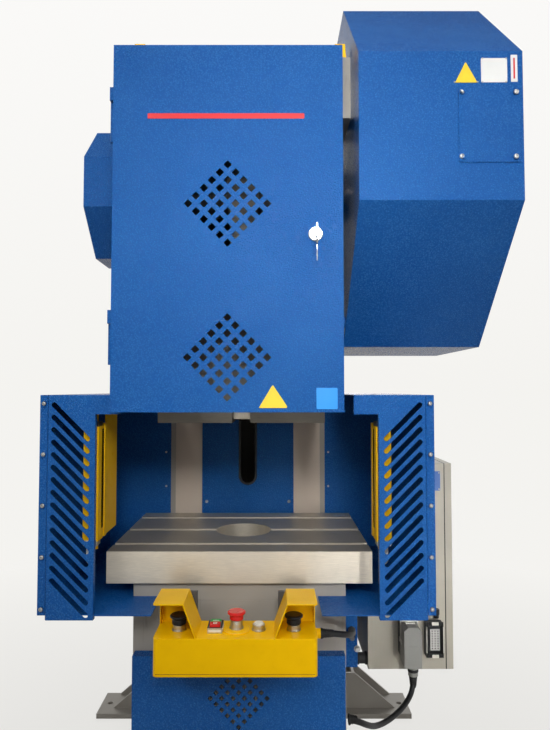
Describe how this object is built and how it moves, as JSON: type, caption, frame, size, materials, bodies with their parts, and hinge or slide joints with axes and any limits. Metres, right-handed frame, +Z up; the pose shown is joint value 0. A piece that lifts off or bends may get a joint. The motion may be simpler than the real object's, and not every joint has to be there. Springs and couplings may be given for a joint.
{
  "type": "mechanical stamping press",
  "caption": "Open-gap eccentric press with a slotted bolster, sliding ram, hinged front door, perforated side guards, two-hand console, flywheel drive and switch cabinet.",
  "frame": {"origin": "centre of the four anchor holes, on the floor", "axes": "+X to the right seen from the front, +Y to the rear, +Z up"},
  "size_m": [1.33, 1.489, 2.386],
  "materials": {
    "frame_paint": "satin light grey paint",
    "blue_paint": "blue hammer-textured powder coat",
    "yellow_paint": "yellow satin paint",
    "dark_paint": "dark grey paint",
    "ground_steel": "machined and ground steel",
    "cast_iron": "turned cast iron",
    "bronze": "bearing bronze",
    "motor_paint": "grey motor paint",
    "edging_rubber": "black rubber",
    "belt_rubber": "black belt rubber",
    "cable_rubber": "black cable sheath",
    "bright_metal": "bright plated metal",
    "black_plastic": "matte black plastic",
    "red_plastic": "red plastic",
    "green_plastic": "green plastic",
    "white_plastic": "white plastic",
    "cabinet_paint": "light grey powder coat",
    "plug_metal": "grey die-cast aluminium"
  },
  "bodies": {
    "frame": {"frame_side_left": "frame_paint", "frame_side_right": "frame_paint", "bed_table": "frame_paint", "bed_front_plate": "frame_paint", "throat_posts": "frame_paint", "throat_panel": "blue_paint", "slot_edging": "edging_rubber", "head_box": "frame_paint", "base_plate": "frame_paint", "feet_front": "frame_paint", "feet_rear": "frame_paint", "bolster_plate": "ground_steel", "lifting_lugs": "yellow_paint", "main_bearings": "bronze", "gibs": "ground_steel", "motor": "motor_paint", "v_belts": "belt_rubber", "lower_cover": "blue_paint", "door_hinges": "blue_paint", "head_hood": "blue_paint", "flywheel_guard": "blue_paint", "guard_access_plate": "blue_paint", "brake_guard": "blue_paint", "brake_guard_lid": "blue_paint", "guard_panel_left": "blue_paint", "guard_panel_right": "blue_paint", "guard_box_left": "blue_paint", "guard_box_right": "blue_paint", "light_curtain_left": "yellow_paint", "light_curtain_right": "yellow_paint", "curtain_plates": "yellow_paint", "console_body": "yellow_paint", "console_brackets": "dark_paint", "button_collars": "bright_metal", "cabinet_carrier": "dark_paint", "cabinet_buffers": "edging_rubber", "cabinet_body": "cabinet_paint", "connector_bases": "dark_paint", "cable_plug": "plug_metal", "cabinet_cable": "cable_rubber", "console_cable": "cable_rubber"},
    "crank": {"crankshaft": "ground_steel", "clutch_unit": "cast_iron", "brake_drum": "cast_iron"},
    "rod": {"connecting_rod": "ground_steel", "rod_screw": "ground_steel"},
    "ram": {"ram": "ground_steel", "shank_clamp": "ground_steel"},
    "flywheel": {"flywheel": "cast_iron"},
    "motor_rotor": {"motor_pulley": "cast_iron"},
    "door": {"front_door": "blue_paint"},
    "key": {"door_key": "bright_metal"},
    "palm_left": {"palm_button_left": "black_plastic"},
    "palm_right": {"palm_button_right": "black_plastic"},
    "stop_mushroom": {"emergency_stop": "red_plastic"},
    "start": {"start_button": "green_plastic"},
    "stop": {"stop_button": "red_plastic"},
    "reset": {"reset_button": "white_plastic"},
    "switch_door": {"cabinet_door": "cabinet_paint"},
    "switch_lock": {"cabinet_lock": "bright_metal"}
  },
  "joints": [
    {"name": "crank_turn", "type": "hinge", "parent": "frame", "child": "crank", "pos_m": [0, -0.433, 1.93], "axis": [1, 0, 0], "continuous": true},
    {"name": "rod_swing", "type": "hinge", "parent": "crank", "child": "rod", "pos_m": [0, -0.433, 1.97], "axis": [1, 0, 0], "continuous": true},
    {"name": "ram_slide", "type": "slide", "parent": "frame", "child": "ram", "axis": [0, 0, -1], "range_m": [0, 0.08]},
    {"name": "flywheel_spin", "type": "hinge", "parent": "frame", "child": "flywheel", "pos_m": [0, -0.433, 1.93], "axis": [1, 0, 0], "continuous": true},
    {"name": "motor_spin", "type": "hinge", "parent": "frame", "child": "motor_rotor", "pos_m": [0, -0.06, 2.265], "axis": [1, 0, 0], "continuous": true},
    {"name": "door_hinge", "type": "hinge", "parent": "frame", "child": "door", "pos_m": [-0.28, -0.77, 1.74], "axis": [0, 0, -1], "range_deg": [0, 105]},
    {"name": "door_key_turn", "type": "hinge", "parent": "door", "child": "key", "pos_m": [0.173, -0.803, 1.725], "axis": [0, 1, 0], "range_deg": [0, 90]},
    {"name": "palm_left_press", "type": "slide", "parent": "frame", "child": "palm_left", "axis": [0, 0, -1], "range_m": [0, 0.005], "stiffness_N_per_m": 600},
    {"name": "palm_right_press", "type": "slide", "parent": "frame", "child": "palm_right", "axis": [0, 0, -1], "range_m": [0, 0.005], "stiffness_N_per_m": 600},
    {"name": "emergency_stop_press", "type": "slide", "parent": "frame", "child": "stop_mushroom", "axis": [0, 0, -1], "range_m": [0, 0.005]},
    {"name": "start_press", "type": "slide", "parent": "frame", "child": "start", "axis": [0, 0, -1], "range_m": [0, 0.003], "stiffness_N_per_m": 300},
    {"name": "stop_press", "type": "slide", "parent": "frame", "child": "stop", "axis": [0, 0, -1], "range_m": [0, 0.003], "stiffness_N_per_m": 300},
    {"name": "reset_press", "type": "slide", "parent": "frame", "child": "reset", "axis": [0, 0, -1], "range_m": [0, 0.003], "stiffness_N_per_m": 300},
    {"name": "cabinet_door_hinge", "type": "hinge", "parent": "frame", "child": "switch_door", "pos_m": [0.656, 0.443, 0.823], "axis": [0, 0, 1], "range_deg": [0, 120]},
    {"name": "cabinet_lock_turn", "type": "hinge", "parent": "switch_door", "child": "switch_lock", "pos_m": [0.655, -0.11, 0.823], "axis": [1, 0, 0], "range_deg": [0, 90]}
  ],
  "couplings": [
    {"joint": "rod_swing", "follows": "crank_turn", "ratio": -1},
    {"joint": "motor_spin", "follows": "flywheel_spin", "ratio": 6.5283}
  ]
}
